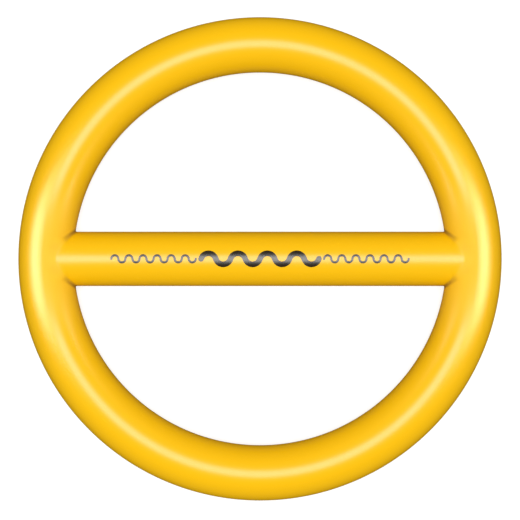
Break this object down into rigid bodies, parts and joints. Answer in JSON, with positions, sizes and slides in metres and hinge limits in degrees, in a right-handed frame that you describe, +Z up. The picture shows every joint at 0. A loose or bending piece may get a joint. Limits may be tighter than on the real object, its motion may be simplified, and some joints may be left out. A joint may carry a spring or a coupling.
{
  "type": "floating ring with crossbar",
  "caption": "Soft floating ring: a fat round foam tube bent into a ring, with a straight crossbar of nearly the same thickness across its middle, all coated in smooth vinyl.",
  "frame": {"origin": "on the surface the ring lies on, at the centre of the ring", "axes": "+Z up, along the ring's own axis; +X along the crossbar, towards its right end; +Y towards the rear half of the ring"},
  "size_m": [0.556, 0.556, 0.0635],
  "materials": {
    "vinyl": "smooth satin-gloss vinyl coating, warm yellow",
    "bead": "vinyl coating built up in the crease, warm yellow",
    "ink": "thin near-black screen-print ink, slightly glossy",
    "foam": "closed-cell foam, matt, off-white",
    "moulding": "moulded polypropylene, satin black",
    "pipe": "extruded rigid plastic pipe, satin white"
  },
  "bodies": {
    "root": {"ring_skin": "vinyl", "crossbar_skin": "vinyl", "joint_bead_left": "bead", "joint_bead_right": "bead", "crossbar_print": "ink", "ring_foam_front": "foam", "ring_foam_rear": "foam", "crossbar_foam": "foam", "tee_left": "moulding", "tee_right": "moulding", "crossbar_tube": "pipe"}
  },
  "joints": []
}
